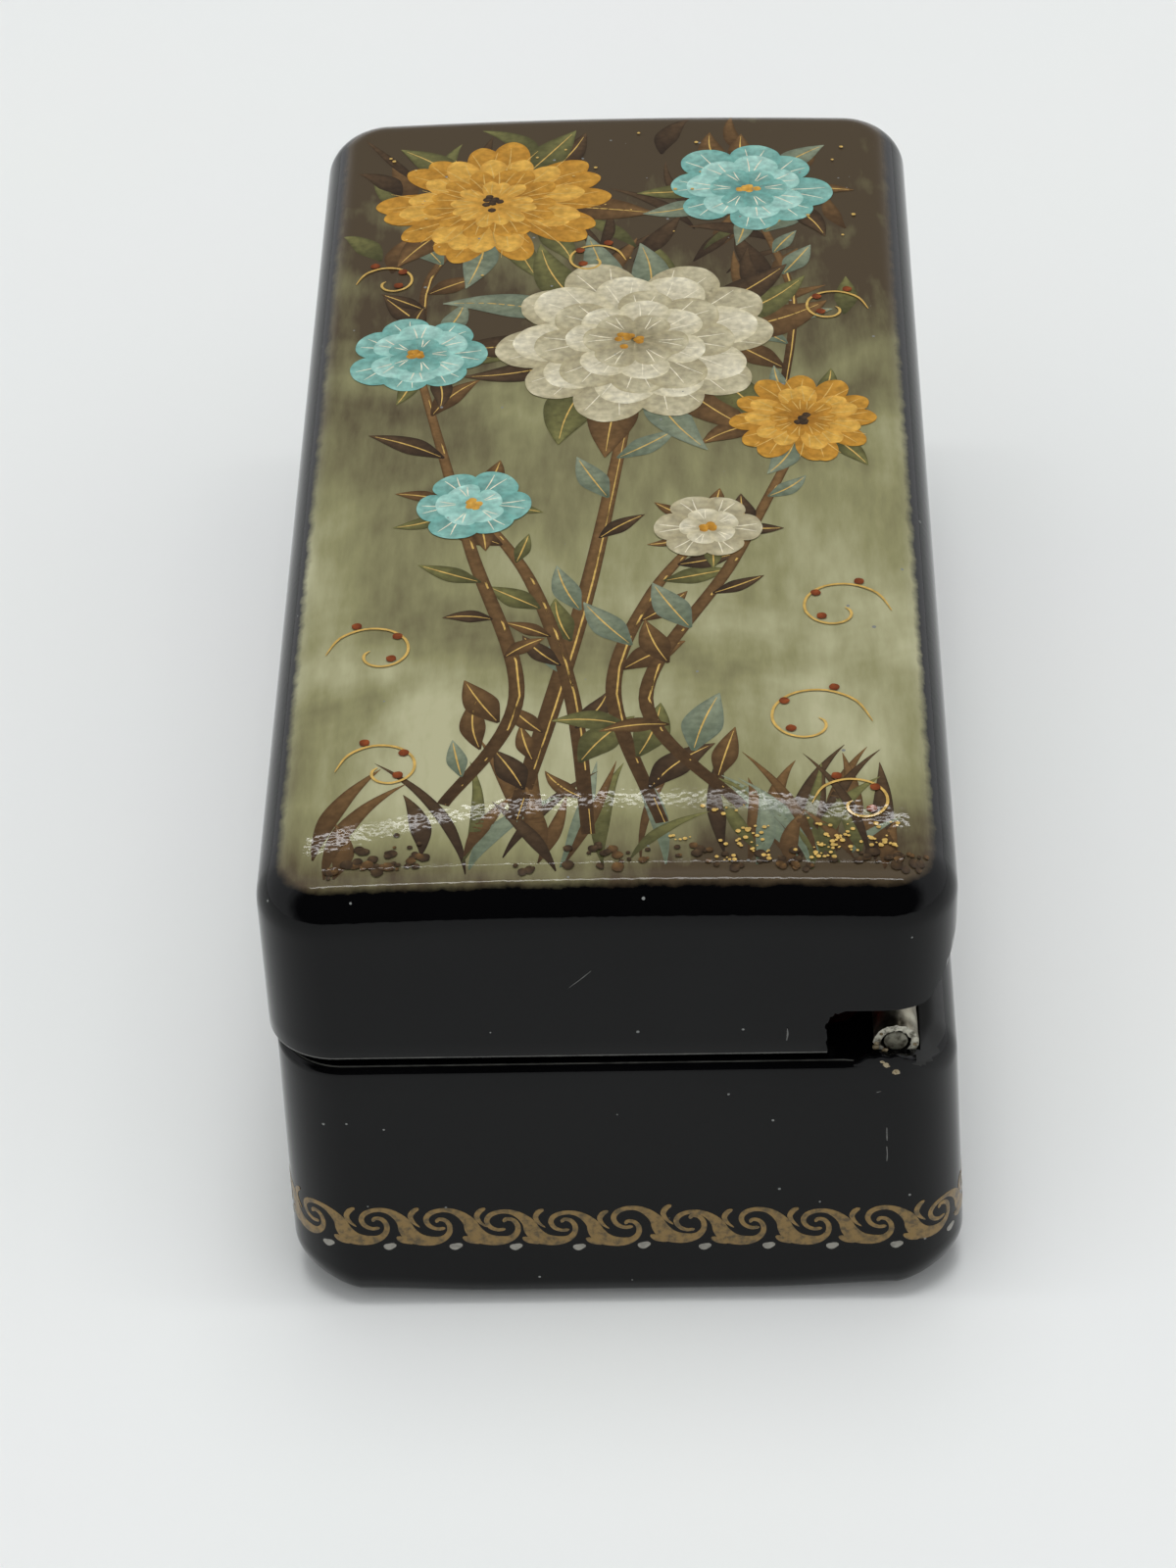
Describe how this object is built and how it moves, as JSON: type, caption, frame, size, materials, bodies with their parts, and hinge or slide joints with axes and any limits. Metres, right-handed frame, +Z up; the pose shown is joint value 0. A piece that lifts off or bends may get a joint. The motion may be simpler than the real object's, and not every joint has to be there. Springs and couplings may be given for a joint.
{
  "type": "lacquer box",
  "caption": "Small oblong papier-mache lacquer box with a crowned, rolled-edge lid that swings up on a tin knuckle hinge along one long side.",
  "frame": {"origin": "on the flat underside, below the middle of the lid and of the inside, on the surface that the box stands on", "axes": "+Z up, Y along the long side, +X towards the hinge side, -X towards the opening side"},
  "size_m": [0.0429, 0.09, 0.034],
  "materials": {
    "lacquered_papier_mache": "black lacquer, polished to a high gloss, over papier-mache",
    "red_lacquer": "red lacquer over papier-mache",
    "painted_lacquer": "painted design under clear gloss lacquer over papier-mache",
    "tinplate": "dull rolled tinplate",
    "steel_wire": "drawn wire, dull"
  },
  "bodies": {
    "base": {"base_floor": "lacquered_papier_mache", "base_wall": "lacquered_papier_mache", "base_collar": "red_lacquer", "hinge_pin": "steel_wire", "base_knuckle_1": "tinplate", "base_knuckle_2": "tinplate", "base_knuckle_3": "tinplate"},
    "lid": {"lid_wall": "lacquered_papier_mache", "lid_top": "painted_lacquer", "lid_knuckle_1": "tinplate", "lid_knuckle_2": "tinplate"}
  },
  "joints": [
    {"name": "lid_hinge", "type": "hinge", "parent": "base", "child": "lid", "pos_m": [0.0173, 0, 0.0205], "axis": [0, 1, 0], "range_deg": [0, 90]}
  ]
}
